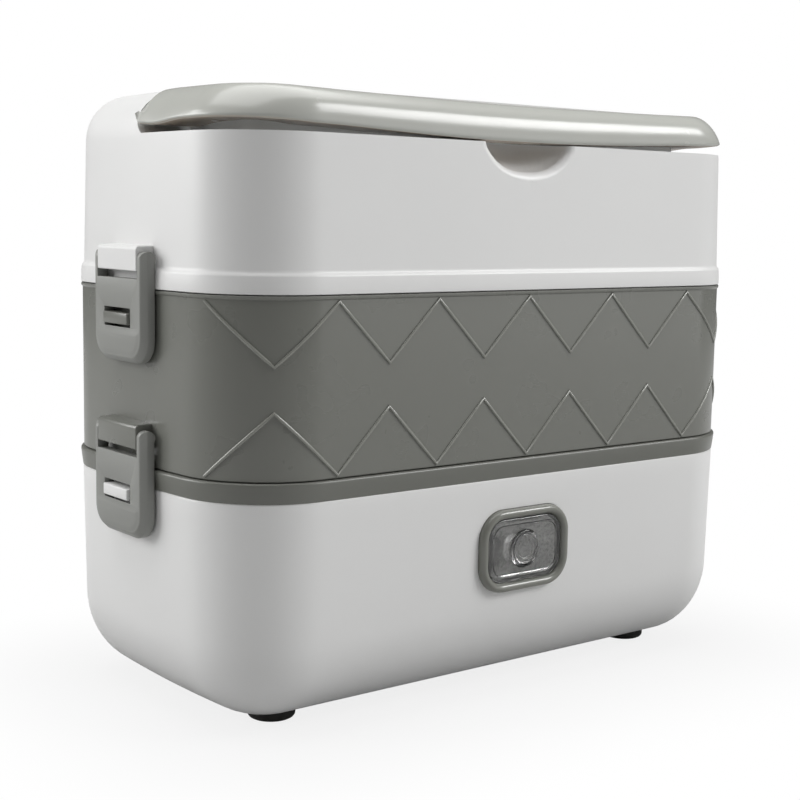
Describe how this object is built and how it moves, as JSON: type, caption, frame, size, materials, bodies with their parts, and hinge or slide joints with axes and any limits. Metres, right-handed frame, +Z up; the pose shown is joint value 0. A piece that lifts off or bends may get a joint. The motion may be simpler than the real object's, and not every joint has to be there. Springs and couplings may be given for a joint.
{
  "type": "electric lunch box",
  "caption": "Heated lunch box: base with power button and inlet, middle tier, lift-off lid with side latches and a folding carry handle, steel trays inside.",
  "frame": {"origin": "middle of the overall box's underside, at the bottom of the feet", "axes": "+Z up, +X to the right seen from the front, -Y towards the front with the power button"},
  "size_m": [0.2504, 0.1276, 0.2055],
  "materials": {
    "white_shell": "smooth satin white PP",
    "grey_trim": "satin warm grey PP",
    "tier_plastic": "satin warm grey PP",
    "latch_plastic": "fine matt warm grey PP",
    "handle_plastic": "glossy light warm grey ABS",
    "cover_plastic": "matt white PP",
    "screw_steel": "plain zinc plated steel",
    "plate_steel": "brushed stainless steel",
    "tray_steel": "brushed stainless steel",
    "clamp_steel": "folded steel strip",
    "heater_aluminium": "extruded aluminium",
    "foot_rubber": "moulded rubber",
    "black_plastic": "black PA",
    "fuse_body": "glass fibre sleeve",
    "pin_brass": "plated brass",
    "wire_brown": "PVC insulation",
    "wire_blue": "PVC insulation",
    "wire_sleeve": "silicone insulation",
    "clear_button": "clear moulded PC",
    "plunger_plastic": "grained grey ABS",
    "lamp_amber": "amber lamp",
    "tray_lid_plastic": "milky PP",
    "seal_silicone": "translucent silicone"
  },
  "bodies": {
    "base": {"base_shell": "white_shell", "base_deck": "grey_trim", "deck_screws": "screw_steel", "bottom_cover": "cover_plastic", "cover_screws": "screw_steel", "feet": "foot_rubber", "heating_plate": "plate_steel", "heater_block": "heater_aluminium", "heater_clamp": "clamp_steel", "clamp_nuts": "screw_steel", "thermostat": "black_plastic", "thermal_fuse": "fuse_body", "fuse_sleeve": "fuse_body", "power_inlet": "black_plastic", "inlet_frame": "grey_trim", "inlet_pins": "pin_brass", "inlet_screws": "screw_steel", "wiring_live": "wire_brown", "wiring_neutral": "wire_blue", "wiring_heater": "wire_sleeve", "button_surround": "grey_trim", "switch_body": "black_plastic", "indicator_lamp": "lamp_amber", "lower_tray_left": "tray_steel", "lower_tray_right": "tray_steel", "lower_tray_lid_left": "tray_lid_plastic", "lower_tray_lid_right": "tray_lid_plastic", "lower_lid_seals": "seal_silicone"},
    "button": {"power_button": "clear_button", "button_plunger": "plunger_plastic", "button_spring": "screw_steel"},
    "tier": {"tier_shell": "tier_plastic", "tier_seal": "seal_silicone", "tier_latch_pins": "screw_steel", "upper_tray_left": "tray_steel", "upper_tray_right": "tray_steel", "upper_tray_lid_left": "tray_lid_plastic", "upper_tray_lid_right": "tray_lid_plastic", "upper_lid_seals": "seal_silicone"},
    "lid": {"lid_shell": "white_shell", "lid_seal": "seal_silicone", "lid_latch_pins": "screw_steel"},
    "carry_handle": {"handle": "handle_plastic", "handle_pins": "screw_steel"},
    "upper_left_latch": {"latch_upper_left": "latch_plastic"},
    "upper_right_latch": {"latch_upper_right": "latch_plastic"},
    "lower_left_latch": {"latch_lower_left": "latch_plastic"},
    "lower_right_latch": {"latch_lower_right": "latch_plastic"}
  },
  "joints": [
    {"name": "tier_lift", "type": "slide", "parent": "base", "child": "tier", "axis": [0, 0, 1], "range_m": [0, 0.03]},
    {"name": "lid_lift", "type": "slide", "parent": "tier", "child": "lid", "axis": [0, 0, 1], "range_m": [0, 0.03]},
    {"name": "handle_swing", "type": "hinge", "parent": "lid", "child": "carry_handle", "pos_m": [0, -0.0082, 0.1986], "axis": [-1, 0, 0], "range_deg": [0, 90]},
    {"name": "upper_left_latch_turn", "type": "hinge", "parent": "lid", "child": "upper_left_latch", "pos_m": [-0.1215, 0, 0.1512], "axis": [0, 1, 0], "range_deg": [0, 163]},
    {"name": "upper_right_latch_turn", "type": "hinge", "parent": "lid", "child": "upper_right_latch", "pos_m": [0.1215, 0, 0.1512], "axis": [0, -1, 0], "range_deg": [0, 163]},
    {"name": "lower_left_latch_turn", "type": "hinge", "parent": "tier", "child": "lower_left_latch", "pos_m": [-0.1219, 0, 0.0944], "axis": [0, 1, 0], "range_deg": [0, 163]},
    {"name": "lower_right_latch_turn", "type": "hinge", "parent": "tier", "child": "lower_right_latch", "pos_m": [0.1219, 0, 0.0944], "axis": [0, -1, 0], "range_deg": [0, 163]},
    {"name": "power_button_press", "type": "slide", "parent": "base", "child": "button", "axis": [0, 1, 0], "range_m": [0, 0.0015], "stiffness_N_per_m": 400, "springref_m": -0.001, "deforming": ["button_spring"]}
  ],
  "couplings": [
    {"joint": "upper_left_latch_turn", "follows": "lid_lift", "rad_per_m": 94.248},
    {"joint": "upper_right_latch_turn", "follows": "lid_lift", "rad_per_m": 94.248},
    {"joint": "lower_left_latch_turn", "follows": "tier_lift", "rad_per_m": 94.248},
    {"joint": "lower_right_latch_turn", "follows": "tier_lift", "rad_per_m": 94.248}
  ]
}
